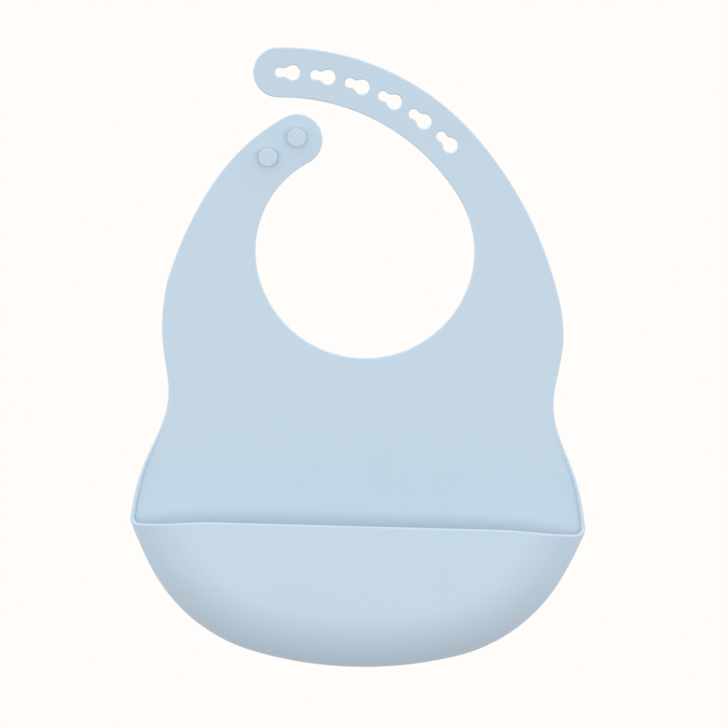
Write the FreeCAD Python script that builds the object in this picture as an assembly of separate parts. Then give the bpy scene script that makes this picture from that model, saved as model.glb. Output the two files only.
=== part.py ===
import FreeCAD, Part
import math
import os

# Silicone bib, worn upright: +X to the viewer's right, +Z up, the front faces -Y.
# The origin is the middle of the neck opening at half the sheet's thickness. Millimetres.

T = 2.0                      # sheet thickness
HALF_T = T / 2

# neck opening: three arcs, a little wider than it is high
NECK_SIDE_R, NECK_SIDE_X, NECK_SIDE_Z = 50.3, 5.0, -0.4
NECK_LOW_R, NECK_LOW_Z = 55.5, 1.03

# keyhole strap: a band round STRAP_C
STRAP_C = (-41.8, -29.2)
STRAP_MID_R, STRAP_HALF = 118.0, 12.7
STRAP_TIP_DEG = 92.1
SHOULDER_R, SHOULDER_DEG = 190.5, 42.9

# button strap
BUTTON_C, BUTTON_R = (9.8, -22.5), 102.9
BUTTON_LOW_C, BUTTON_LOW_R = (74.5, -64.4), 180.0
BUTTON_TIP_C, BUTTON_TIP_R = (-35.9, 54.9), 13.0

# where each panel side starts, its half widths, then the corners and the bowl of the pocket
RIGHT_TOP_Z, LEFT_TOP_Z = -28.0, -20.0
SIDE = [(101.6, -41.0), (99.3, -60.0), (97.4, -75.5), (100.9, -92.0), (107.7, -108.0),
        (112.7, -124.0), (115.0, -138.0)]
CORNER = [(114.97, -139.72), (114.6, -141.4)]
BOWL_LOW_Z, BOWL_LOW_R = -210.7, 199.7       # the bowl's arcs, from the middle outwards
BOWL_MID_X, BOWL_MID_R = 51.3, 85.0
BOWL_HIGH_DEG, BOWL_HIGH_R = -29.5, 190.0

# keyholes: KEYHOLE_COUNT along the strap, big lobe towards the root
KEYHOLE_COUNT = 6
KEYHOLE_FIRST_DEG, KEYHOLE_STEP_DEG = 88.6, 8.74
KEYHOLE_BIG_R, KEYHOLE_SMALL_R, KEYHOLE_NECK = 3.75, 2.45, 4.1
KEYHOLE_LOBES = 6.5          # between the two lobe centres

# studs
STUDS = [(-35.9, 55.6), (-50.2, 45.2)]
STEM_R, STEM_H = 2.3, 2.6
HEAD_R, HEAD_H, HEAD_ROUND = 4.7, 2.0, 0.8

# pocket: walls stand out from the panel and roll over into the front
LIP_Z, POCKET_OUT, POCKET_ROUND = -140.0, 26.0, 17.0
RIM_TOP_Z, RIM_W, RIM_OUT = -84.0, 3.0, 5.0

# front flap: its lower edge is the hinge line, its sides follow the bowl
FLAP_HINGE_Z, FLAP_R, FLAP_GAP = -186.5, 66.5, 0.8

# fold lines: a half-round nose turns in front of a flat face a gap away
WAIST_Z, SHOULDER_Z = -76.0, 5.0
BUTTON_FOLD_DEG = 152.0
STRAP_FOLD_DEG, STRAP_END_DEG = 34.0, 68.1
WIDE_GAP, NARROW_GAP = 1.8, 1.3
KEYHOLE_STRAP_TOP_Z = 70.0   # above this there is only the keyhole strap
BETWEEN_STRAPS_X = -20.0     # right of this too
EDGE_ROUND = 0.6

BIG = 400.0                  # larger than the bib, for cutting blocks
ORIGIN = FreeCAD.Vector(0, 0, 0)


def at(x, z, y=0.0):
    return FreeCAD.Vector(x, y, z)


def polar(centre, radius, deg):
    a = math.radians(deg)
    return (centre[0] + radius * math.cos(a), centre[1] + radius * math.sin(a))


def bearing(a, b):
    return math.degrees(math.atan2(b[1] - a[1], b[0] - a[0]))


def mirrored(points):
    return [(-x, z) for x, z in reversed(points)]


def arc(centre, radius, start, end):
    """Start, middle and end of an arc between two bearings."""
    return [polar(centre, radius, d) for d in (start, (start + end) / 2, end)]


def chain(runs):
    """Closed face from runs of points: three points make an arc, more make a smooth curve.

    Every run starts where the run before it ended."""
    edges, last = [], runs[-1][-1]
    for run in runs:
        points = [at(*p) for p in [last] + run[1:]]
        if len(points) == 3:
            edges.append(Part.Arc(*points).toShape())
        elif len(points) == 2:
            edges.append(Part.makeLine(*points))
        else:
            curve = Part.BSplineCurve()
            curve.interpolate(points)
            edges.append(curve.toShape())
        last = run[-1]
    return Part.Face(Part.Wire(edges))


def strap_and_right_side():
    outer = STRAP_MID_R + STRAP_HALF
    centre = polar(STRAP_C, outer - SHOULDER_R, SHOULDER_DEG)
    low = math.degrees(math.asin((RIGHT_TOP_Z - centre[1]) / SHOULDER_R))
    return [arc(STRAP_C, outer, STRAP_TIP_DEG, SHOULDER_DEG),
            arc(centre, SHOULDER_R, SHOULDER_DEG, low),
            [polar(centre, SHOULDER_R, low)] + SIDE]


def bowl_centres():
    """Centres of the right half's three arcs, each touching the one before it."""
    low = (0.0, BOWL_LOW_Z + BOWL_LOW_R)
    turn = -math.degrees(math.acos(BOWL_MID_X / BOWL_LOW_R))
    mid = polar(low, BOWL_LOW_R - BOWL_MID_R, turn)
    high = polar(mid, BOWL_MID_R - BOWL_HIGH_R, BOWL_HIGH_DEG)
    return low, mid, high, turn


def bowl_arcs(inset, top_z):
    """The bowl from its right end at top_z, round the bottom, to its left end."""
    low, mid, high, turn = bowl_centres()
    radius = BOWL_HIGH_R - inset
    end = math.degrees(math.asin((top_z - high[1]) / radius))
    right = [arc(high, radius, end, BOWL_HIGH_DEG),
             arc(mid, BOWL_MID_R - inset, BOWL_HIGH_DEG, turn)]
    left = [mirrored(run) for run in reversed(right)]
    return right + [arc(low, BOWL_LOW_R - inset, turn, -180 - turn)] + left


def bowl():
    arcs = bowl_arcs(0, CORNER[-1][1])
    corner = [SIDE[-1]] + CORNER[:1] + [arcs[0][0]]
    return [corner] + arcs + [mirrored(corner)]


def left_side_and_button_strap():
    low = 180 - math.degrees(math.asin((LEFT_TOP_Z - BUTTON_LOW_C[1]) / BUTTON_LOW_R))
    join = bearing(BUTTON_LOW_C, BUTTON_C)
    tip_out = bearing(BUTTON_C, BUTTON_TIP_C)
    tip_in = bearing(BUTTON_TIP_C, (-NECK_SIDE_X, NECK_SIDE_Z))
    return [mirrored(SIDE) + [polar(BUTTON_LOW_C, BUTTON_LOW_R, low)],
            arc(BUTTON_LOW_C, BUTTON_LOW_R, low, join),
            arc(BUTTON_C, BUTTON_R, join, tip_out),
            arc(BUTTON_TIP_C, BUTTON_TIP_R, tip_out, tip_in)]


def neck():
    left, right, low = (-NECK_SIDE_X, NECK_SIDE_Z), (NECK_SIDE_X, NECK_SIDE_Z), (0.0, NECK_LOW_Z)
    join = 360 + bearing(low, left)
    return [arc(left, NECK_SIDE_R, bearing(left, BUTTON_TIP_C), join),
            arc(low, NECK_LOW_R, join, 540 - join),
            arc(right, NECK_SIDE_R, 180 - join, bearing(STRAP_C, right))]


def strap_inside_and_tip():
    inner = STRAP_MID_R - STRAP_HALF
    start = bearing(STRAP_C, (NECK_SIDE_X, NECK_SIDE_Z))
    tip = polar(STRAP_C, STRAP_MID_R, STRAP_TIP_DEG)
    return [arc(STRAP_C, inner, start, STRAP_TIP_DEG),
            arc(tip, STRAP_HALF, STRAP_TIP_DEG + 180, STRAP_TIP_DEG)]


def outline():
    return chain(strap_and_right_side() + bowl() + left_side_and_button_strap() + neck()
                 + strap_inside_and_tip())


def slab(face, y0, y1):
    """The face made solid from y0 back to y1."""
    moved = face.copy()
    moved.translate(FreeCAD.Vector(0, y0, 0))
    return moved.extrude(FreeCAD.Vector(0, y1 - y0, 0))


def block(x0, x1, y0, y1, z0, z1):
    return Part.makeBox(x1 - x0, y1 - y0, z1 - z0, FreeCAD.Vector(x0, y0, z0))


def placed(shape, point, deg):
    """A shape made at the origin, with its +X turned to a bearing, moved to a point."""
    shape.rotate(ORIGIN, FreeCAD.Vector(0, 1, 0), -deg)
    shape.translate(at(*point))
    return shape


def beyond(point, deg, offset):
    """Everything past a line: point on the line, bearing of its normal, offset along it."""
    return placed(block(offset, BIG, -BIG, BIG, -BIG, BIG), point, deg)


def fold(sheet, point, deg, gap):
    """Split a piece of sheet at a fold line: (near piece with a flat end, far piece with a nose)."""
    before = block(-BIG, 0, -BIG, BIG, -BIG, BIG)
    groove = Part.makeCylinder(HALF_T, 2 * BIG, FreeCAD.Vector(0, 0, -BIG))
    far = sheet.cut(placed(before.cut(groove), point, deg))
    return sheet.common(beyond(point, deg + 180, gap)), far


def keyhole(index):
    deg = KEYHOLE_FIRST_DEG - index * KEYHOLE_STEP_DEG
    big = polar(STRAP_C, STRAP_MID_R, deg)
    small = polar(STRAP_C, STRAP_MID_R, deg + math.degrees(KEYHOLE_LOBES / STRAP_MID_R))
    drill = FreeCAD.Vector(0, 1, 0)
    hole = Part.makeCylinder(KEYHOLE_BIG_R, 2 * T, at(*big, -T), drill)
    hole = hole.fuse(Part.makeCylinder(KEYHOLE_SMALL_R, 2 * T, at(*small, -T), drill))
    half = KEYHOLE_NECK / 2
    return hole.fuse(placed(block(0, KEYHOLE_LOBES, -T, T, -half, half), big, bearing(big, small)))


def stud(x, z):
    front = FreeCAD.Vector(0, -1, 0)
    stem = Part.makeCylinder(STEM_R, STEM_H, at(x, z, -HALF_T), front)
    head = Part.makeCylinder(HEAD_R, HEAD_H, at(x, z, -HALF_T - STEM_H), front)
    head = head.makeFillet(HEAD_ROUND, [e for e in head.Edges if e.Closed])
    return stem.fuse(head).removeSplitter()


def pocket_solid(inset):
    """The pocket as a solid pillow in front of the panel, shrunk inwards by a wall."""
    arcs = bowl_arcs(inset, LIP_Z + POCKET_ROUND)
    face = chain(arcs + [[arcs[-1][-1], arcs[0][0]]])
    solid = slab(face, inset - POCKET_OUT, -HALF_T)
    front = min(solid.Faces, key=lambda f: f.CenterOfMass.y)
    rolled = [e for e in front.Edges if e.BoundBox.ZMin < LIP_Z]
    solid = solid.makeFillet(POCKET_ROUND - inset, rolled)
    return solid.common(block(-BIG, BIG, -BIG, BIG, -BIG, LIP_Z))


def flap_block(grow, below):
    """Cutter for the front flap, grown sideways and below its hinge line."""
    mid, foot_z, top_z = bowl_centres()[1], FLAP_HINGE_Z - below, LIP_Z + T
    foot, top = [math.degrees(math.asin((z - mid[1]) / (FLAP_R + grow))) for z in (foot_z, top_z)]
    side = arc(mid, FLAP_R + grow, top, foot)
    left = mirrored(side)
    face = chain([side, [side[-1], left[0]], left, [left[-1], side[0]]])
    return slab(face, -POCKET_OUT - T, T - POCKET_OUT)


def pocket():
    """The fixed walls round the front flap, and the flap with its half-round foot."""
    shell = pocket_solid(0).cut(pocket_solid(T))
    walls = shell.cut(flap_block(FLAP_GAP, NARROW_GAP))
    plate = flap_block(0, 0).common(shell)
    mid = bowl_centres()[1]
    foot = mid[0] + math.sqrt(FLAP_R ** 2 - (FLAP_HINGE_Z - HALF_T - mid[1]) ** 2)
    rod = Part.makeCylinder(HALF_T, 2 * foot, at(-foot, FLAP_HINGE_Z, HALF_T - POCKET_OUT),
                            FreeCAD.Vector(1, 0, 0))
    return walls, plate.fuse(rod).removeSplitter()


def side_rim(prism, side):
    """Raised edge from the waist down to a corner of the mouth, rising all the way."""
    inner = prism.copy()
    inner.translate(FreeCAD.Vector(-side * RIM_W, 0, 0))
    corners = [(RIM_TOP_Z, 0), (LIP_Z, 0), (LIP_Z, RIM_OUT), (RIM_TOP_Z, 0)]
    wedge = Part.Face(Part.makePolygon([at(0, z, -HALF_T - out) for z, out in corners]))
    wedge = wedge.extrude(FreeCAD.Vector(side * BIG, 0, 0))
    return prism.cut(inner).common(wedge)


def rounded(sheet):
    """The sheet with its front and back edges rounded over."""
    flats = [f for f in sheet.Faces if abs(f.normalAt(0, 0).y) > 0.9]
    return sheet.makeFillet(EDGE_ROUND, [e for f in flats for e in f.Edges])


def folds(sheet):
    """The whole sheet cut at its fold lines."""
    right = block(BETWEEN_STRAPS_X, BIG, -BIG, BIG, 0, BIG)
    tip = block(-BIG, BIG, -BIG, BIG, KEYHOLE_STRAP_TOP_Z, BIG)
    left = block(-BIG, BETWEEN_STRAPS_X, -BIG, BIG, 0, KEYHOLE_STRAP_TOP_Z)
    chest, lower = fold(sheet, (0, WAIST_Z), -90, WIDE_GAP)
    chest, straps = fold(chest, (0, SHOULDER_Z), 90, NARROW_GAP)
    button = straps.common(left)
    keyed = straps.common(right.fuse(tip))
    button_root, button_end = fold(button, (0, 0), BUTTON_FOLD_DEG - 90, NARROW_GAP)
    root, rest = fold(keyed, STRAP_C, STRAP_FOLD_DEG + 90, NARROW_GAP)
    middle, end = fold(rest, STRAP_C, STRAP_END_DEG + 90, NARROW_GAP)
    holes = [keyhole(i) for i in range(KEYHOLE_COUNT)]
    return {"chest_panel": chest, "lower_panel": lower,
            "button_strap_root": button_root, "button_strap_end": button_end,
            "keyhole_strap_root": root,
            "keyhole_strap_middle": middle.cut(holes), "keyhole_strap_end": end.cut(holes)}


def main():
    os.makedirs("parts", exist_ok=True)
    face = outline()
    prism = slab(face, -BIG / 4, BIG / 4)
    nodes = folds(rounded(slab(face, -HALF_T, HALF_T)))
    nodes["pocket_walls"], nodes["pocket_front"] = pocket()
    nodes["side_rim_left"], nodes["side_rim_right"] = side_rim(prism, -1), side_rim(prism, 1)
    nodes["stud_upper"], nodes["stud_lower"] = [stud(x, z) for x, z in STUDS]
    for name, shape in nodes.items():
        shape.Solids[0].exportStep("parts/" + name + ".step")
        print(name, len(shape.Solids), "solid", round(shape.Volume), "mm3", shape.isValid())


main()
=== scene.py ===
"""Silicone bib: one soft moulding drawn as several sheets.

Outlines are worked out in millimetres in the front plane (x, z) and turned into metres at the end.
"""

import math

import bpy
import numpy as np
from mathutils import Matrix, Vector
from mathutils.geometry import delaunay_2d_cdt


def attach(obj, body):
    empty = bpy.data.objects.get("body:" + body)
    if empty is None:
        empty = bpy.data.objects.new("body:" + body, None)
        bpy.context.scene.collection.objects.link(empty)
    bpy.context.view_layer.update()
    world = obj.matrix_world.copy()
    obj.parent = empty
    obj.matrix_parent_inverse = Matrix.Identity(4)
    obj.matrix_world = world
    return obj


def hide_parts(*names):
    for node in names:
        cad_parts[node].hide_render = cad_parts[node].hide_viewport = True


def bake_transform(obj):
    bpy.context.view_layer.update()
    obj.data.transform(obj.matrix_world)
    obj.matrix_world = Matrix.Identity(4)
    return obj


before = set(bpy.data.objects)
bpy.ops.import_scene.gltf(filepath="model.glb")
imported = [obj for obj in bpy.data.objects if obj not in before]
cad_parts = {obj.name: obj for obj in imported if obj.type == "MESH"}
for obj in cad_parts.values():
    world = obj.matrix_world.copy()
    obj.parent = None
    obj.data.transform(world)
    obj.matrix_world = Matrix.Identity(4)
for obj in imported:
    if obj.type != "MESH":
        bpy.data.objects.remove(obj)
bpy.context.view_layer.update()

MM = 0.001
HALF_T = 1.0                 # half the sheet's thickness
EDGE_STEP = 1.5              # between outline points
GRID_STEP = 3.0              # between points inside a sheet
GRID_CLEAR = 0.6             # share of a grid's step that stays free beside an edge
EDGE_RINGS = 8               # round a sheet's edge
EDGE_LIGHT_GAIN = 1.3         # how fast painted light grows on a round edge away from the front
CLOSE = 0.01                 # two outline points nearer than this are one
MERGE = 1e-7                 # the triangulation's own tolerance
NO_AREA = 1e-9               # a triangle smaller than this is left out
TINY = 1e-12                 # keeps a divisor away from nought
CHUNK = 2000                 # points compared at a time

# the outline's arcs, as in the CAD source: _R is a radius, _C its centre, _DEG where one arc meets the next
NECK_SIDE_R, NECK_SIDE_C = 50.3, (5.0, -0.4)
NECK_LOW_R, NECK_LOW_C = 55.5, (0.0, 1.03)
STRAP_C, STRAP_MID_R, STRAP_HALF, STRAP_TIP_DEG = (-41.8, -29.2), 118.0, 12.7, 92.1
SHOULDER_R, SHOULDER_DEG = 190.5, 42.9
BUTTON_C, BUTTON_R = (9.8, -22.5), 102.9
BUTTON_LOW_C, BUTTON_LOW_R = (74.5, -64.4), 180.0
BUTTON_TIP_C, BUTTON_TIP_R = (-35.9, 54.9), 13.0
RIGHT_TOP_Z, LEFT_TOP_Z = -28.0, -20.0
BOWL_LOW_Z, BOWL_LOW_R = -210.7, 199.7
BOWL_MID_X, BOWL_MID_R = 51.3, 85.0
BOWL_HIGH_DEG, BOWL_HIGH_R = -29.5, 190.0

# the sides' curve down to the pocket's corner, and where the bowl starts below it;
# the corner stands about 1.3 mm higher than in the CAD, as in the photo
SIDE = [(101.6, -41.0), (99.3, -60.0), (97.4, -75.5), (100.9, -92.0), (107.7, -108.0),
        (112.7, -124.0), (114.9, -136.7)]
CORNER, BOWL_TOP_Z = (115.08, -138.4), -139.8

# keyholes along the strap's middle line; a keyhole's two lobes are KEYHOLE_LOBES apart
KEYHOLE_FIRST_DEG, KEYHOLE_STEP_DEG, KEYHOLE_COUNT = 88.6, 8.74, 6
KEYHOLE_BIG_R, KEYHOLE_SMALL_R, KEYHOLE_LOBES, KEYHOLE_FILLET = 3.75, 2.45, 6.5, 3.2
KEYHOLE_EDGE_STEP = EDGE_STEP / 3
TIP_KEYHOLES = 5             # how many are in the strap's tip; the rest are below it

# folds: each is a line, and _BEND is how far the bend spreads each side of it;
# seams between sheets lie where one joint's bend has ended and the next has not begun
SEAM_Z = -23.0
BUTTON_FOLD_DEG, BUTTON_BEND = 152.0, 12.0
STRAP_FOLD_DEG, STRAP_BEND = 34.0, 16.0
STRAP_SEAM_DEG = 50.7

# roughly where seams cross the outline, from the neck opening's middle
PANEL_OUT_X, PANEL_IN_X = 98.0, 51.0
BUTTON_OUT_R, BUTTON_IN_R = 84.0, 55.0

# pocket: its wall rolls forward from the outline, and is cut off at the lip and the side rims
POCKET_OUT, POCKET_ROLL = 26.0, 27.0
CROWN_DOWN, CROWN_ACROSS = 1.2, 0.6          # how far the front falls away from its highest point
CROWN_DOWN_OVER, CROWN_ACROSS_OVER = 70.0, 100.0
LIP_Z, LIP_RISE_OVER, LIP_CORNER_R = -139.4, 40.0, 3.9
RIM_TOP_Z, RIM_CORNER_Z = -82.0, -137.7      # the side rim's ends
RIM_CORNER_H, RIM_GROWTH = 3.6, 1.2          # how high it stands at the corner, and how it grows to that
RIM_SINK, RIM_SINK_OVER, RIM_SINK_IN = 0.3, 4.0, 0.3   # how deep its top sinks, over what z; share sideways
STRIP_ROLL, STRIP_FROM, STRIP_OVER = 45.0, 3.0, 27.0   # the strip's share of the roll past the corner
STRIP_ROWS, POCKET_STEP = 9, 2.4             # rows of faces in the strip; between points inside it
RIM_THIN, RIM_LIGHT, RIM_FADE = 0.7, 0.5, 6.0   # share of the thickness at the rim's top; how strong the rim's painted highlight is up to the corner, and over how far past it the highlight fades

# studs
STUDS = {"upper": (-35.9, 55.6), "lower": (-50.2, 45.2)}
STEM_R, STEM_H, STEM_FILLET = 2.3, 2.6, 0.7
HEAD_R, HEAD_H, HEAD_ROUND = 4.7, 2.0, 0.8
STUD_SIDES, STUD_SINK, STUD_FLAT_STEP = 64, 0.3, 0.5
STUD_FOOT_POINTS, STUD_HEAD_POINTS = 7, 9    # on each quarter circle of its profile
STUD_LIGHT_FROM, STUD_LIGHT = 3.6, 0.5         # how far out the stud's head gets a painted highlight on its rounded rim, and how strong it is

# the silicone's look: noises in the object's own space, and what they change
# the last blue is painted light: lighter blue mixed in on round edges, the side rims and the studs' rims as
# a painted highlight
BLUE_DEEP, BLUE_PALE, BLUE_LIT_EDGE = (0.585, 0.672, 0.735), (0.615, 0.702, 0.765), (0.64, 0.73, 0.793)
CLOUD = {"Scale": 26.0, "Detail": 3.0, "Roughness": 0.5}
SPECK = {"Scale": 1400.0, "Detail": 2.0, "Roughness": 0.6}
GRAIN = {"Scale": 2600.0, "Detail": 3.0, "Roughness": 0.65}
SWELL = {"Scale": 34.0, "Detail": 1.0, "Roughness": 0.4}
SPECK_SHARE, CLOUD_SHARE = 0.35, 0.65        # of the blue tone
FINE_BUMP = {"Strength": 0.08, "Distance": 0.00006}
BROAD_BUMP = {"Strength": 0.35, "Distance": 0.0006}
ROUGH_LOW, ROUGH_HIGH = 0.56, 0.68
FINISH = {"Specular IOR Level": 0.22, "Sheen Weight": 0.3, "Sheen Roughness": 0.5}

# stage, in metres
FLOOR_R, FLOOR_Z, FLOOR_SIDES = 0.15, -0.262, 96
FLOOR_DARK, FLOOR_PALE, FLOOR_ROUGH = (0.85, 0.785, 0.69), (0.88, 0.815, 0.72), 0.9
FLOOR_MOTTLE = {"Scale": 18.0, "Detail": 2.0}
WHITE = (1.0, 0.974, 0.947)
AROUND = 0.437               # the surroundings' brightness, and how much it grows towards some directions
AROUND_SIDE, AROUND_BACK, AROUND_UP = 0.555, 0.4, 0.43
AROUND_COLOUR = (0.93, 0.985, 1.06)
SOFTBOX_PLACE, SOFTBOX_WIDTH, SOFTBOX_HEIGHT = (0.0, -0.9, -0.075), 1.45, 0.62
SOFTBOX_POWER, SOFTBOX_COLOUR = 6.52, (0.91, 0.982, 1.03)
AIM_X, AIM_Z = 0.00104, -0.0576
CAMERA_AWAY, VIEW_WIDTH, CAMERA_ROLL_DEG = 1.6, 0.3682, -1.508
SENSOR_WIDTH = 36.0
LEVEL = math.radians(90)     # turns a lamp or a camera to look along +Y


def unit(v):
    """Vectors made one long."""
    return v / np.maximum(np.linalg.norm(v, axis=-1, keepdims=True), TINY)


def polar(centre, radius, deg):
    """The point at a distance and a bearing from a centre."""
    a = np.radians(deg)
    return np.array(centre) + radius * np.array([np.cos(a), np.sin(a)])


def heading(deg):
    """The direction of a bearing, one long."""
    return polar((0, 0), 1, deg)


def bearing(a, b):
    """The bearing of b from a, in degrees."""
    return math.degrees(math.atan2(b[1] - a[1], b[0] - a[0]))


def arc(centre, radius, start, end, step=EDGE_STEP):
    """Points along an arc from one bearing to another."""
    count = max(2, math.ceil(abs(math.radians(end - start)) * radius / step))
    a = np.radians(np.linspace(start, end, count + 1))
    return np.array(centre) + radius * np.stack([np.cos(a), np.sin(a)], 1)


def arc_through(a, b, c, step=EDGE_STEP):
    """Points along the arc from a to c that passes b."""
    m = 2 * np.array([np.subtract(b, a), np.subtract(c, a)])
    centre = np.linalg.solve(m, [np.dot(b, b) - np.dot(a, a), np.dot(c, c) - np.dot(a, a)])
    start, end = bearing(centre, a), bearing(centre, c)
    turn = (end - start + 180) % 360 - 180
    return arc(centre, np.linalg.norm(centre - a), start, start + turn, step)


def spline(points, step=EDGE_STEP):
    """Points along a natural cubic curve through a few points."""
    p = np.array(points, float)
    h = np.linalg.norm(np.diff(p, axis=0), axis=1)
    n = len(p)
    m, r = np.eye(n), np.zeros((n, 2))
    for i in range(1, n - 1):
        m[i, i - 1:i + 2] = h[i - 1], 2 * (h[i - 1] + h[i]), h[i]
        r[i] = 6 * ((p[i + 1] - p[i]) / h[i] - (p[i] - p[i - 1]) / h[i - 1])
    k = np.linalg.solve(m, r)
    out = []
    for i in range(n - 1):
        t = np.linspace(0, h[i], math.ceil(h[i] / step) + 1)[:, None]
        u = h[i] - t
        out.append((k[i] * u ** 3 + k[i + 1] * t ** 3) / (6 * h[i])
                   + (p[i] / h[i] - k[i] * h[i] / 6) * u + (p[i + 1] / h[i] - k[i + 1] * h[i] / 6) * t)
    return joined(out)


def joined(runs):
    """One open line from runs that start where the run before them ended."""
    return np.concatenate([runs[0]] + [r[1:] for r in runs[1:]])


def mirrored(points):
    """A line's mirror image across the middle, run through backwards."""
    return np.array(points)[::-1] * [-1, 1]


def bowl():
    """The pocket's outline from its right corner, round the bottom, to its left corner."""
    low = np.array([0.0, BOWL_LOW_Z + BOWL_LOW_R])
    turn = -math.degrees(math.acos(BOWL_MID_X / BOWL_LOW_R))
    mid = polar(low, BOWL_LOW_R - BOWL_MID_R, turn)
    high = polar(mid, BOWL_MID_R - BOWL_HIGH_R, BOWL_HIGH_DEG)
    end = math.degrees(math.asin((BOWL_TOP_Z - high[1]) / BOWL_HIGH_R))
    right = joined([arc(high, BOWL_HIGH_R, end, BOWL_HIGH_DEG), arc(mid, BOWL_MID_R, BOWL_HIGH_DEG, turn)])
    return joined([right, arc(low, BOWL_LOW_R, turn, -180 - turn), mirrored(right)])


def outline():
    """The whole bib as a closed line, clockwise from the keyhole strap's tip."""
    outer, inner = STRAP_MID_R + STRAP_HALF, STRAP_MID_R - STRAP_HALF
    shoulder = polar(STRAP_C, outer - SHOULDER_R, SHOULDER_DEG)
    right_low = math.degrees(math.asin((RIGHT_TOP_Z - shoulder[1]) / SHOULDER_R))
    left_low = 180 - math.degrees(math.asin((LEFT_TOP_Z - BUTTON_LOW_C[1]) / BUTTON_LOW_R))
    join = bearing(BUTTON_LOW_C, BUTTON_C)
    left, right, low = (-NECK_SIDE_C[0], NECK_SIDE_C[1]), NECK_SIDE_C, NECK_LOW_C
    neck = 360 + bearing(low, left)
    tip_out, tip_in = bearing(BUTTON_C, BUTTON_TIP_C), bearing(BUTTON_TIP_C, left)
    pocket = bowl()
    corner = arc_through(SIDE[-1], CORNER, pocket[0])
    runs = [
        arc(STRAP_C, outer, STRAP_TIP_DEG, SHOULDER_DEG),
        arc(shoulder, SHOULDER_R, SHOULDER_DEG, right_low),
        spline([polar(shoulder, SHOULDER_R, right_low)] + SIDE),
        corner, pocket, mirrored(corner),
        spline(list(mirrored(SIDE)) + [polar(BUTTON_LOW_C, BUTTON_LOW_R, left_low)]),
        arc(BUTTON_LOW_C, BUTTON_LOW_R, left_low, join),
        arc(BUTTON_C, BUTTON_R, join, tip_out),
        arc(BUTTON_TIP_C, BUTTON_TIP_R, tip_out, tip_in),
        arc(left, NECK_SIDE_R, bearing(left, BUTTON_TIP_C), neck),
        arc(low, NECK_LOW_R, neck, 540 - neck),
        arc(right, NECK_SIDE_R, 180 - neck, bearing(STRAP_C, right)),
        arc(STRAP_C, inner, bearing(STRAP_C, right), STRAP_TIP_DEG),
        arc(polar(STRAP_C, STRAP_MID_R, STRAP_TIP_DEG), STRAP_HALF, STRAP_TIP_DEG + 180, STRAP_TIP_DEG),
    ]
    return joined(runs)[:-1]


def edge_normals(line):
    """Outward normals of a closed clockwise line."""
    along = unit(np.roll(line, -1, 0) - line) + unit(line - np.roll(line, 1, 0))
    along = unit(along)
    return np.stack([-along[:, 1], along[:, 0]], 1)


class Outline:
    """A closed outline that can be cut where straight seams cross it."""

    def __init__(self, line):
        self.line = line
        self.marks = {}

    def cut(self, name, point, normal, near):
        """Adds a point where the outline crosses a seam line, at the crossing nearest to near."""
        here = (self.line - point) @ np.array(normal)
        after = np.roll(here, -1)
        found = np.nonzero(here * after < 0)[0]
        share = (here[found] / (here[found] - after[found]))[:, None]
        spots = self.line[found] * (1 - share) + np.roll(self.line, -1, 0)[found] * share
        pick = np.linalg.norm(spots - near, axis=1).argmin()
        spot = spots[pick]
        gaps = np.linalg.norm(self.line - spot, axis=1)
        if gaps.min() < CLOSE:
            spot = self.line[gaps.argmin()]
        else:
            self.line = np.insert(self.line, found[pick] + 1, spot, 0)
        self.marks[name] = spot

    def stretch(self, start, end):
        """(points, normals) along the outline from one mark to another."""
        a, b = [int(np.argmin(np.linalg.norm(self.line - self.marks[m], axis=1))) for m in (start, end)]
        count = (b - a) % len(self.line)
        index = (a + np.arange(count + 1)) % len(self.line)
        return self.line[index], edge_normals(self.line)[index]


def inside(points, polygon):
    """Which points lie inside a closed polygon."""
    x, z = points[:, 0][:, None], points[:, 1][:, None]
    a, b = polygon, np.roll(polygon, -1, 0)
    crosses = (a[:, 1] > z) != (b[:, 1] > z)
    rise = np.where(a[:, 1] == b[:, 1], TINY, b[:, 1] - a[:, 1])
    at = a[:, 0] + (z - a[:, 1]) * (b[:, 0] - a[:, 0]) / rise
    return (crosses & (x < at)).sum(1) % 2 == 1


def nearest(points, line, normals):
    """Distance from each point to an open line, and the line's normal at the nearest spot."""
    a, b = line[:-1], line[1:]
    along = b - a
    p = points[:, None]
    t = np.clip(((p - a) * along).sum(2) / (along ** 2).sum(1), 0, 1)
    d = np.linalg.norm(p - a - t[..., None] * along, axis=2)
    k = d.argmin(1)
    rows = np.arange(len(k))
    share = t[rows, k][:, None]
    return d[rows, k], unit(normals[k] * (1 - share) + normals[k + 1] * share)


def hex_grid(polygon, step, clear_of, gap):
    """Points inside a polygon, more than a gap from given points, in rows each half a step over."""
    low, high = polygon.min(0), polygon.max(0)
    row_step = step * math.sqrt(0.75)
    rows = []
    for i, z in enumerate(np.arange(low[1], high[1], row_step)):
        x = np.arange(low[0] + (0.25 + 0.5 * (i % 2)) * step, high[0], step)
        rows.append(np.stack([x, np.full(len(x), z)], 1))
    p = np.concatenate(rows)
    p = p[inside(p, polygon)]
    keep = np.ones(len(p), bool)
    for i in range(0, len(p), CHUNK):
        d = np.linalg.norm(p[i:i + CHUNK, None] - clear_of, axis=2).min(1)
        keep[i:i + CHUNK] = d > gap
    return p[keep]


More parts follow.
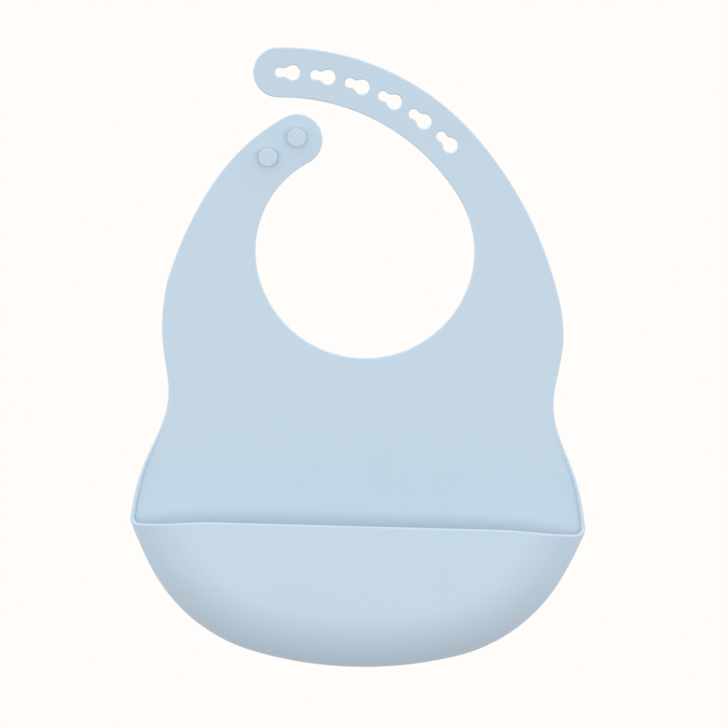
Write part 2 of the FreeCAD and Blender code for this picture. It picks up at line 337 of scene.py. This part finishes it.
def triangles(points, loops):
    """Triangles between points that keep to closed loops (the first is outside, others are holes)."""
    edges = [(int(a), int(b)) for loop in loops for a, b in zip(loop, np.roll(loop, -1))]
    made = delaunay_2d_cdt([Vector(p) for p in points], edges, [], 0, MERGE)
    same = [o[0] if o else -1 for o in made[3]]
    tris = np.array([[same[v] for v in f] for f in made[2]])
    tris = tris[(tris >= 0).all(1)]
    middle = points[tris].mean(1)
    keep = inside(middle, points[loops[0]])
    for hole in loops[1:]:
        keep &= ~inside(middle, points[hole])
    tris = tris[keep]
    a, b, c = points[tris[:, 0]], points[tris[:, 1]], points[tris[:, 2]]
    area = (b - a)[:, 0] * (c - a)[:, 1] - (b - a)[:, 1] * (c - a)[:, 0]
    tris[area < 0] = tris[area < 0][:, ::-1]
    return tris[np.abs(area) > NO_AREA]


def new_mesh(name, points, faces, normals=None, painted_light=None):
    """A smooth mesh object from millimetre points; the last argument is how much painted edge light each
    point gets, 0 to 1.
    """
    mesh = bpy.data.meshes.new(name)
    mesh.from_pydata((np.array(points) * MM).tolist(), [], [[int(v) for v in f] for f in faces])
    mesh.shade_smooth()
    if normals is not None:
        mesh.normals_split_custom_set_from_vertices(np.array(normals).tolist())
    if painted_light is not None:
        mesh.attributes.new("painted_light", "FLOAT", "POINT").data.foreach_set("value", np.array(painted_light, np.float32))
    obj = bpy.data.objects.new(name, mesh)
    bpy.context.scene.collection.objects.link(obj)
    return obj


def seam_points(a, b, step=GRID_STEP):
    """Points between two edge points, the same whichever end comes first."""
    count = max(2, round(np.linalg.norm(b - a) / step))
    t = np.arange(1, count)[:, None] / count
    return a + (b - a) * t


def facing(faces, points, normals):
    """A run of like faces, all turned round if they look away from their corners' normals."""
    a, b, c = [np.array([f[k] for f in faces]) for k in range(3)]
    across = np.cross(points[b] - points[a], points[c] - points[a])
    return faces if (across * normals[a]).sum() >= 0 else [f[::-1] for f in faces]


def quads(rows):
    """Faces between rows of the same length."""
    return [[a[i], a[i + 1], b[i + 1], b[i]] for a, b in zip(rows[:-1], rows[1:]) for i in range(len(a) - 1)]


def painted_edge_light(turn):
    """Painted light on a round edge at an angle from the front: a lighter colour that stands in for light
    shining through the thin silicone.
    """
    return min(1.0, EDGE_LIGHT_GAIN * math.sin(turn))


def sheet_edges(stretches, holes):
    """The flat part's edge points, its closed loops, and the edges to round: (indices, line, normals)."""
    flat, rounds = [], []
    for i, (line, normal) in enumerate(stretches):
        first = sum(len(f) for f in flat)
        flat.append(line - HALF_T * normal)
        rounds.append((first + np.arange(len(line)), line, normal))
        after = stretches[(i + 1) % len(stretches)]
        flat.append(seam_points(flat[-1][-1], after[0][0] - HALF_T * after[1][0]))
    loops = [np.arange(sum(len(f) for f in flat))]
    for line, normal in holes:
        first = sum(len(f) for f in flat)
        flat.append(line - HALF_T * normal)
        loops.append(first + np.arange(len(line)))
        rounds.append((loops[-1], line, normal))
    return np.concatenate(flat), loops, rounds


def edge_rings(line, normal):
    """(points, normals, painted edge light) of each ring round an edge, from the front to the back."""
    rings = []
    for a in np.linspace(0, math.pi, EDGE_RINGS + 1)[1:-1]:
        ring = line + (math.sin(a) - 1) * HALF_T * normal
        points = np.stack([ring[:, 0], np.full(len(ring), -HALF_T * math.cos(a)), ring[:, 1]], 1)
        forward = np.full(len(ring), -math.cos(a))
        normals = np.stack([normal[:, 0] * math.sin(a), forward, normal[:, 1] * math.sin(a)], 1)
        rings.append((points, normals, np.full(len(ring), painted_edge_light(a))))
    return rings


def sheet(name, stretches, holes=()):
    """A flat sheet with rounded edges. Stretches are joined by seams, which stay open."""
    edge, loops, rounds = sheet_edges(stretches, holes)
    grid = hex_grid(edge[loops[0]], GRID_STEP, edge, GRID_CLEAR * GRID_STEP)
    for line, _ in holes:
        grid = grid[~inside(grid, line)]
    plan = np.concatenate([edge, grid])
    tris = triangles(plan, loops)
    count = len(plan)
    front = np.stack([plan[:, 0], np.full(count, -HALF_T), plan[:, 1]], 1)
    points = [front, front * [1, -1, 1]]
    normals = [np.tile([0.0, -1, 0], (count, 1)), np.tile([0.0, 1, 0], (count, 1))]
    painted_light = [np.zeros(2 * count)]
    faces = tris.tolist() + (tris[:, ::-1] + count).tolist()
    total = 2 * count
    for index, line, normal in rounds:
        rows = [index]
        for ring, ring_normals, ring_light in edge_rings(line, normal):
            points.append(ring)
            normals.append(ring_normals)
            painted_light.append(ring_light)
            rows.append(total + np.arange(len(ring)))
            total += len(ring)
        rows.append(index + count)
        if index[0] not in loops[0]:
            rows = [np.append(row, row[0]) for row in rows]
        faces += facing(quads(rows), np.concatenate(points), np.concatenate(normals))
    return new_mesh(name, np.concatenate(points), faces, np.concatenate(normals), np.concatenate(painted_light))


def keyhole(index):
    """(points, normals) of a keyhole: two round lobes joined by a filleted neck."""
    deg = KEYHOLE_FIRST_DEG - index * KEYHOLE_STEP_DEG
    big = polar(STRAP_C, STRAP_MID_R, deg)
    small = polar(STRAP_C, STRAP_MID_R, deg + math.degrees(KEYHOLE_LOBES / STRAP_MID_R))
    turn = bearing(big, small)
    reach_big, reach_small = KEYHOLE_BIG_R + KEYHOLE_FILLET, KEYHOLE_SMALL_R + KEYHOLE_FILLET
    span = np.linalg.norm(small - big)
    along = (reach_big ** 2 - reach_small ** 2 + span ** 2) / (2 * span)
    side = math.sqrt(reach_big ** 2 - along ** 2)
    at_big, at_small = math.degrees(math.atan2(side, along)), math.degrees(math.atan2(side, along - span))
    step = KEYHOLE_EDGE_STEP
    upper = np.array([along, side])
    runs = [
        arc((0, 0), KEYHOLE_BIG_R, -at_big, at_big - 360, step),
        arc(upper, KEYHOLE_FILLET, at_big - 180, at_small - 180, step),
        arc((span, 0), KEYHOLE_SMALL_R, at_small, -at_small, step),
        arc(upper * [1, -1], KEYHOLE_FILLET, 180 - at_small, 180 - at_big, step),
    ]
    line = joined(runs)[:-1]
    c, s = math.cos(math.radians(turn)), math.sin(math.radians(turn))
    line = line @ np.array([[c, s], [-s, c]]) + big
    return line, -edge_normals(line)


def mark_seams(bib):
    """Cuts the outline at every seam, at the side rim's top and at the bottom's middle."""
    button = heading(BUTTON_FOLD_DEG - 90)
    strap = heading(STRAP_FOLD_DEG + 90)
    tip = heading(STRAP_SEAM_DEG + 90)
    button_seam = -BUTTON_BEND * button
    strap_seam = STRAP_C - STRAP_BEND * strap
    inner, outer = STRAP_MID_R - STRAP_HALF, STRAP_MID_R + STRAP_HALF
    up, right = (0, 1), (1, 0)
    cuts = [
        ("right_out", (0, SEAM_Z), up, (PANEL_OUT_X, SEAM_Z)),
        ("right_in", (0, SEAM_Z), up, (PANEL_IN_X, SEAM_Z)),
        ("left_out", (0, SEAM_Z), up, (-PANEL_OUT_X, SEAM_Z)),
        ("left_in", (0, SEAM_Z), up, (-PANEL_IN_X, SEAM_Z)),
        ("button_out", button_seam, button, polar((0, 0), BUTTON_OUT_R, BUTTON_FOLD_DEG)),
        ("button_in", button_seam, button, polar((0, 0), BUTTON_IN_R, BUTTON_FOLD_DEG)),
        ("strap_out", strap_seam, strap, polar(STRAP_C, outer, STRAP_FOLD_DEG)),
        ("strap_in", strap_seam, strap, polar(STRAP_C, inner, STRAP_FOLD_DEG)),
        ("tip_out", STRAP_C, tip, polar(STRAP_C, outer, STRAP_SEAM_DEG)),
        ("tip_in", STRAP_C, tip, polar(STRAP_C, inner, STRAP_SEAM_DEG)),
        ("rim_top", (0, RIM_TOP_Z), up, (PANEL_OUT_X, RIM_TOP_Z)),
        ("bottom", (0, 0), right, (0, BOWL_LOW_Z)),
    ]
    for name, point, normal, near in cuts:
        bib.cut(name, np.array(point, float), normal, np.array(near, float))


def at(x, z):
    """A point of the frame, in metres, from millimetres in the front plane."""
    return (x * MM, 0.0, z * MM)


def bend(obj):
    """Bakes a sheet's placement into its points."""
    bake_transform(obj)


def make_sheets(bib):
    """The flat parts of the moulding, each over one fold."""
    holes = [keyhole(i) for i in range(KEYHOLE_COUNT)]
    s = bib.stretch
    body = sheet("bib_panel", [s("right_out", "left_out"), s("left_in", "right_in")])
    bend(body)
    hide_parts("chest_panel", "lower_panel")
    left = sheet("button_strap_shoulder", [s("left_out", "button_out"), s("button_in", "left_in")])
    bend(left)
    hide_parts("button_strap_root")
    end = sheet("button_strap_tip", [s("button_out", "button_in")])
    bend(end)
    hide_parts("button_strap_end")
    right = sheet("keyhole_strap_shoulder", [s("strap_out", "right_out"), s("right_in", "strap_in")])
    bend(right)
    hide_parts("keyhole_strap_root")
    between = [s("tip_out", "strap_out"), s("strap_in", "tip_in")]
    middle = sheet("keyhole_strap_lower", between, holes[TIP_KEYHOLES:])
    bend(middle)
    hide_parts("keyhole_strap_middle")
    tip = sheet("keyhole_strap_tip", [s("tip_in", "tip_out")], holes[:TIP_KEYHOLES])
    bend(tip)
    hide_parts("keyhole_strap_end")
    return [body, left, end, right, middle, tip]


def smooth(t):
    """Eases from 0 to 1."""
    t = np.clip(t, 0, 1)
    return t * t * (3 - 2 * t)


def outer_face(plan, inset, outward):
    """(points, normals) of the pocket's outer face: inset is the distance in from the outline."""
    cosine = np.clip(1 - inset / POCKET_ROLL, 0, 1)
    sine = np.sqrt(1 - cosine ** 2)
    x, z = plan[:, 0] / CROWN_ACROSS_OVER, (plan[:, 1] - LIP_Z) / CROWN_DOWN_OVER
    deep = POCKET_OUT - CROWN_ACROSS * x ** 2 - CROWN_DOWN * z ** 2
    fall = -2 * np.stack([CROWN_ACROSS * x / CROWN_ACROSS_OVER, CROWN_DOWN * z / CROWN_DOWN_OVER], 1)
    flat = outward * (deep * cosine)[:, None] - fall * (POCKET_ROLL * sine ** 2)[:, None]
    normals = unit(np.stack([flat[:, 0], -POCKET_ROLL * sine, flat[:, 1]], 1))
    return np.stack([plan[:, 0], -deep * sine, plan[:, 1]], 1), normals


def strip_rolls(line):
    """(degrees round the roll that the strip beside the outline goes, at each of its points; the corner)."""
    down = np.clip((RIM_TOP_Z - line[:, 1]) / (RIM_TOP_Z - RIM_CORNER_Z), 0, 1)
    crest = np.degrees(np.arcsin(RIM_CORNER_H * down ** RIM_GROWTH / POCKET_OUT))
    corner = int(np.argmax(down == 1))
    run = np.concatenate([[0], np.cumsum(np.linalg.norm(np.diff(line, axis=0), axis=1))])
    past = smooth((run - run[corner] - STRIP_FROM) / STRIP_OVER)
    return crest + (STRIP_ROLL - crest) * past, corner


def mouth(rim):
    """The lip in plan: round the corner from the end of the side rim, then to the middle."""
    corner = arc(rim[-1] - [LIP_CORNER_R, 0], LIP_CORNER_R, 0, -90, EDGE_STEP / 2)
    x = np.linspace(corner[-1][0], 0, round(corner[-1][0] / EDGE_STEP) + 1)
    z = corner[-1][1] + (LIP_Z - corner[-1][1]) * smooth((x[0] - x) / LIP_RISE_OVER)
    return joined([corner, np.stack([x, z], 1)])[1:]


def crest_rows(points, normals, half):
    """(points, normals) of each row of a half-round edge, from the outer face over to the inner face."""
    along = unit(np.gradient(points, axis=0))
    along[-1] = (-1, 0, 0)
    up = unit(np.cross(along, normals))
    rows = []
    for a in np.linspace(0, math.pi, EDGE_RINGS + 1)[1:-1]:
        turned = unit(normals * math.cos(a) + up * math.sin(a))
        rows.append((points + half[:, None] * (turned - normals), turned))
    return rows


def pocket_middle(strip, strip_index, lip, first):
    """(points, faces) of the outer face inside the strip: lip, seam and grid, numbered from first."""
    seam = seam_points(strip[-1], lip[-1], POCKET_STEP)
    loop = np.concatenate([strip, seam, lip[::-1]])
    grid = hex_grid(loop, POCKET_STEP, loop, GRID_CLEAR * POCKET_STEP)
    seam_first, grid_first = first + len(lip), first + len(lip) + len(seam)
    index = np.concatenate([strip_index, np.arange(seam_first, grid_first),
                            np.arange(first, seam_first)[::-1], grid_first + np.arange(len(grid))])
    faces = index[triangles(np.concatenate([loop, grid]), [np.arange(len(loop))])].tolist()
    return np.concatenate([lip, seam, grid]), faces


def sunk(points, normals):
    """The side rim's top sinks into the panel, so that the rim grows out of it."""
    sink = RIM_SINK * (1 - smooth((RIM_TOP_Z - points[:, 2]) / RIM_SINK_OVER))
    return points + sink[:, None] * (np.array([0, 1, 0]) - RIM_SINK_IN * np.abs(normals) * [1, 0, 0])


def rim_values(count, corner):
    """(half the thickness, painted highlight) along the strip: the rim is thin at its top, and painted
    lighter up to the corner, fading past it.
    """
    run = np.arange(count) - corner
    half = HALF_T * (RIM_THIN + (1 - RIM_THIN) * smooth(1 + run / corner))
    return half, RIM_LIGHT * smooth(1 - run * EDGE_STEP / RIM_FADE)


def thickened(points, normals, faces, half, crest):
    """The outer face with its inner face and, along the crest, the half-round edge between them."""
    total = len(points)
    rings = crest_rows(points[crest], normals[crest], half[crest])
    rows = [2 * total + len(crest) * k + np.arange(len(crest)) for k in range(len(rings))]
    inner = [[v + total for v in f[::-1]] for f in faces]
    points = np.concatenate([points, points - 2 * half[:, None] * normals] + [ring for ring, _ in rings])
    normals = np.concatenate([normals, -normals] + [ring_normals for _, ring_normals in rings])
    edge = facing(quads([crest] + rows + [crest + total]), points, normals)
    return points, normals, faces + inner + edge


def pocket_half(bib):
    """(points, normals, faces, painted edge light) of the pocket's right half and the rim up to the waist.
    """
    line, outward = bib.stretch("rim_top", "bottom")
    rolls, corner = strip_rolls(line)
    cosines = [np.cos(np.radians(rolls * k / STRIP_ROWS)) for k in range(STRIP_ROWS + 1)]
    insets = [POCKET_ROLL * (1 - c) for c in cosines]
    plans = [line - outward * i[:, None] for i in insets]
    count = len(line)
    rows = [np.arange(count) + k * count for k in range(STRIP_ROWS + 1)]
    lip = mouth(plans[-1][:corner + 1])
    first = count * (STRIP_ROWS + 1)
    inner_plan, middle = pocket_middle(plans[-1][corner:], rows[-1][corner:], lip, first)
    inset, out = nearest(inner_plan, line, outward)
    points, normals = outer_face(np.concatenate(plans + [inner_plan]), np.concatenate(insets + [inset]),
                                 np.concatenate([outward] * (STRIP_ROWS + 1) + [out]))
    points = sunk(points, normals)
    half, painted_light = rim_values(count, corner)
    half = np.concatenate([np.tile(half, STRIP_ROWS + 1), np.full(len(inner_plan), HALF_T)])
    painted_light = np.concatenate([np.tile(painted_light, STRIP_ROWS + 1), np.zeros(len(inner_plan))])
    crest = np.concatenate([rows[-1][:corner + 1], first + np.arange(len(lip))])
    outer = facing(middle, points, normals) + facing(quads(rows), points, normals)
    points, normals, faces = thickened(points, normals, outer, half, crest)
    return points, normals, faces, np.concatenate([painted_light, painted_light] + [painted_light[crest]] * (EDGE_RINGS - 1))


def make_pocket(bib):
    """The pocket's two halves, which meet in the middle."""
    points, normals, faces, painted_light = pocket_half(bib)
    halves = []
    for side, flip in (("right", 1), ("left", -1)):
        turn = np.array([flip, 1, 1])
        turned = [f[::flip] for f in faces]
        half = new_mesh("pocket_" + side, points * turn, turned, normals * turn, painted_light)
        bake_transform(half)
        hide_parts("pocket_front", "pocket_walls", "side_rim_" + side)
        halves.append(half)
    return halves


def stud_profile():
    """(radius, distance out from the sheet) from the stud's foot to the middle of its face."""
    foot_turns = np.radians(np.linspace(0, 90, STUD_FOOT_POINTS))
    head_turns = np.radians(np.linspace(0, 90, STUD_HEAD_POINTS))
    top = STEM_H + HEAD_H
    round_r, low, high = HEAD_R - HEAD_ROUND, STEM_H + HEAD_ROUND, top - HEAD_ROUND
    foot = [(STEM_R + STEM_FILLET * (1 - math.sin(a)), STEM_FILLET * (1 - math.cos(a))) for a in foot_turns]
    under = [(round_r + HEAD_ROUND * math.sin(a), low - HEAD_ROUND * math.cos(a)) for a in head_turns]
    over = [(round_r + HEAD_ROUND * math.cos(a), high + HEAD_ROUND * math.sin(a)) for a in head_turns]
    face = [(round_r - STUD_FLAT_STEP, top), (0.0, top)]
    return [(STEM_R + STEM_FILLET, -STUD_SINK)] + foot + [(STEM_R, STEM_H)] + under + over + face


def make_stud(name, x, z):
    """A mushroom button on the strap's front, turned from its profile."""
    profile = stud_profile()
    turn = np.linspace(0, 2 * math.pi, STUD_SIDES, endpoint=False)
    rings = [np.stack([x + r * np.cos(turn), np.full(STUD_SIDES, -HALF_T - out), z + r * np.sin(turn)], 1)
             for r, out in profile[:-1]]
    count = len(rings) * STUD_SIDES
    points = np.concatenate(rings + [[[x, -HALF_T - profile[-1][1], z]]])
    rows = [np.append(np.arange(STUD_SIDES), 0) + k * STUD_SIDES for k in range(len(rings))]
    faces = quads(rows)
    faces += [[rows[-1][i], rows[-1][i + 1], count] for i in range(STUD_SIDES)]
    faces.append(list(range(STUD_SIDES))[::-1])
    # painted highlight on the rounded rim of the stud's head
    painted_light = [STUD_LIGHT * float(r > STUD_LIGHT_FROM) for r, _ in profile[:-1]]
    painted_light = np.append(np.repeat(painted_light, STUD_SIDES), 0.0)
    stud = new_mesh(name, points, facing(faces, points, points - points.mean(0)), painted_light=painted_light)
    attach(stud, "button_end")
    return stud


def make_studs():
    """Both buttons on the button strap's tip."""
    studs = []
    for place, (x, z) in STUDS.items():
        stud = make_stud("stud_button_" + place, x, z)
        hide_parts("stud_" + place)
        studs.append(stud)
    return studs


def node(tree, kind, **values):
    """A shader node with some of its settings and inputs filled in."""
    made = tree.nodes.new(kind)
    for key, value in values.items():
        if hasattr(made, key):
            setattr(made, key, value)
        else:
            made.inputs[key.replace("_", " ")].default_value = value
    return made


def noise(tree, look):
    """A noise in the object's own space."""
    texture = node(tree, "ShaderNodeTexNoise", **look)
    tree.links.new(node(tree, "ShaderNodeTexCoord").outputs["Object"], texture.inputs["Vector"])
    return texture.outputs["Fac"]


def colour_mix(tree, factor, a, b):
    """A colour between two others."""
    mix = node(tree, "ShaderNodeMix", data_type="RGBA")
    mix.inputs["A"].default_value = (*a, 1)
    mix.inputs["B"].default_value = (*b, 1)
    tree.links.new(factor, mix.inputs["Factor"])
    return mix


def silicone_colour(tree, cloud):
    """Blue with faint clouds and specks, and a painted highlight: lighter blue on round edges, rims and the
    studs' rims, standing in for light through thin silicone.
    """
    link = tree.links.new
    part = node(tree, "ShaderNodeMath", operation="MULTIPLY")
    part.inputs[1].default_value = CLOUD_SHARE
    link(cloud, part.inputs[0])
    share = node(tree, "ShaderNodeMath", operation="MULTIPLY_ADD")
    share.inputs[1].default_value = SPECK_SHARE
    link(noise(tree, SPECK), share.inputs[0])
    link(part.outputs[0], share.inputs[2])
    tone = colour_mix(tree, share.outputs[0], BLUE_DEEP, BLUE_PALE)
    # painted highlight: each point's painted-light value mixes in a lighter blue
    lit_edge = node(tree, "ShaderNodeAttribute", attribute_name="painted_light")
    edge = colour_mix(tree, lit_edge.outputs["Fac"], BLUE_DEEP, BLUE_LIT_EDGE)
    link(tone.outputs["Result"], edge.inputs["A"])
    return edge.outputs["Result"]


def silicone_bump(tree):
    """A fine grain on a broad, faint swell."""
    link = tree.links.new
    fine = node(tree, "ShaderNodeBump", **FINE_BUMP)
    link(noise(tree, GRAIN), fine.inputs["Height"])
    broad = node(tree, "ShaderNodeBump", **BROAD_BUMP)
    link(noise(tree, SWELL), broad.inputs["Height"])
    link(fine.outputs["Normal"], broad.inputs["Normal"])
    return broad.outputs["Normal"]


def silicone():
    """Matt, slightly grained pale blue silicone."""
    material = bpy.data.materials.new("silicone")
    material.use_nodes = True
    tree = material.node_tree
    link = tree.links.new
    shader = tree.nodes["Principled BSDF"]
    cloud = noise(tree, CLOUD)
    link(silicone_colour(tree, cloud), shader.inputs["Base Color"])
    rough = node(tree, "ShaderNodeMapRange", To_Min=ROUGH_LOW, To_Max=ROUGH_HIGH)
    link(cloud, rough.inputs["Value"])
    link(rough.outputs["Result"], shader.inputs["Roughness"])
    link(silicone_bump(tree), shader.inputs["Normal"])
    for name, value in FINISH.items():
        shader.inputs[name].default_value = value
    return material


def make_stage():
    """A pale round floor under the bib. It throws no light back at the bib: the photo shows no floor."""
    turn = np.linspace(0, 2 * math.pi, FLOOR_SIDES, endpoint=False)
    points = np.stack([np.cos(turn) * FLOOR_R, np.sin(turn) * FLOOR_R, np.full(FLOOR_SIDES, FLOOR_Z)], 1)
    floor = new_mesh("floor", points / MM, [list(range(FLOOR_SIDES))])
    material = bpy.data.materials.new("floor")
    material.use_nodes = True
    tree = material.node_tree
    shader = tree.nodes["Principled BSDF"]
    mottle = node(tree, "ShaderNodeTexNoise", **FLOOR_MOTTLE)
    tone = colour_mix(tree, mottle.outputs["Fac"], FLOOR_DARK, FLOOR_PALE)
    tree.links.new(tone.outputs["Result"], shader.inputs["Base Color"])
    shader.inputs["Roughness"].default_value = FLOOR_ROUGH
    floor.data.materials.append(material)
    for rays in ("diffuse", "glossy", "transmission", "volume_scatter", "shadow"):
        setattr(floor, "visible_" + rays, False)


def make_world():
    """Soft light from all round, strongest from the sides, above and behind; seen as plain off-white."""
    world = bpy.data.worlds.new("surroundings")
    bpy.context.scene.world = world
    world.use_nodes = True
    tree = world.node_tree
    tree.nodes.clear()
    link = tree.links.new
    place = node(tree, "ShaderNodeTexCoord")
    slope = node(tree, "ShaderNodeVectorMath", operation="MULTIPLY_ADD")
    slope.inputs[1].default_value = (AROUND_SIDE, 0, AROUND_SIDE)
    slope.inputs[2].default_value = (0, AROUND_BACK, AROUND_UP)
    link(place.outputs["Generated"], slope.inputs[0])
    grow = node(tree, "ShaderNodeVectorMath", operation="DOT_PRODUCT")
    link(place.outputs["Generated"], grow.inputs[0])
    link(slope.outputs["Vector"], grow.inputs[1])
    height = node(tree, "ShaderNodeMath", operation="ADD")
    height.inputs[1].default_value = AROUND
    link(grow.outputs["Value"], height.inputs[0])
    soft = node(tree, "ShaderNodeBackground", Color=(*AROUND_COLOUR, 1))
    link(height.outputs[0], soft.inputs["Strength"])
    seen = node(tree, "ShaderNodeBackground", Color=(*WHITE, 1), Strength=1.0)
    ray = node(tree, "ShaderNodeLightPath")
    mix = node(tree, "ShaderNodeMixShader")
    link(ray.outputs["Is Camera Ray"], mix.inputs["Fac"])
    link(soft.outputs["Background"], mix.inputs[1])
    link(seen.outputs["Background"], mix.inputs[2])
    link(mix.outputs["Shader"], node(tree, "ShaderNodeOutputWorld").inputs["Surface"])


def make_softbox():
    """One wide soft light in front, facing the bib squarely."""
    light = bpy.data.lights.new("softbox", "AREA")
    light.shape, light.size, light.size_y = "RECTANGLE", SOFTBOX_WIDTH, SOFTBOX_HEIGHT
    light.energy, light.color = SOFTBOX_POWER, SOFTBOX_COLOUR
    lamp = bpy.data.objects.new("softbox", light)
    bpy.context.scene.collection.objects.link(lamp)
    lamp.location = SOFTBOX_PLACE
    lamp.rotation_euler = (LEVEL, 0, 0)
    lamp.visible_camera = False


def make_camera():
    """Looks straight along +Y; the bib hangs a little clockwise in its view."""
    data = bpy.data.cameras.new("camera")
    data.sensor_width = SENSOR_WIDTH
    data.lens = data.sensor_width * CAMERA_AWAY / VIEW_WIDTH
    camera = bpy.data.objects.new("camera", data)
    bpy.context.scene.collection.objects.link(camera)
    camera.location = (AIM_X, -CAMERA_AWAY, AIM_Z)
    camera.rotation_euler = (LEVEL, math.radians(CAMERA_ROLL_DEG), 0)
    bpy.context.scene.camera = camera


def main():
    """Builds the pieces and the stage."""
    bib = Outline(outline())
    mark_seams(bib)
    pieces = make_sheets(bib) + make_pocket(bib) + make_studs()
    material = silicone()
    for piece in pieces:
        piece.data.materials.append(material)
    make_stage()
    make_world()
    make_softbox()
    make_camera()
    bpy.context.scene.view_settings.view_transform = "Standard"


main()
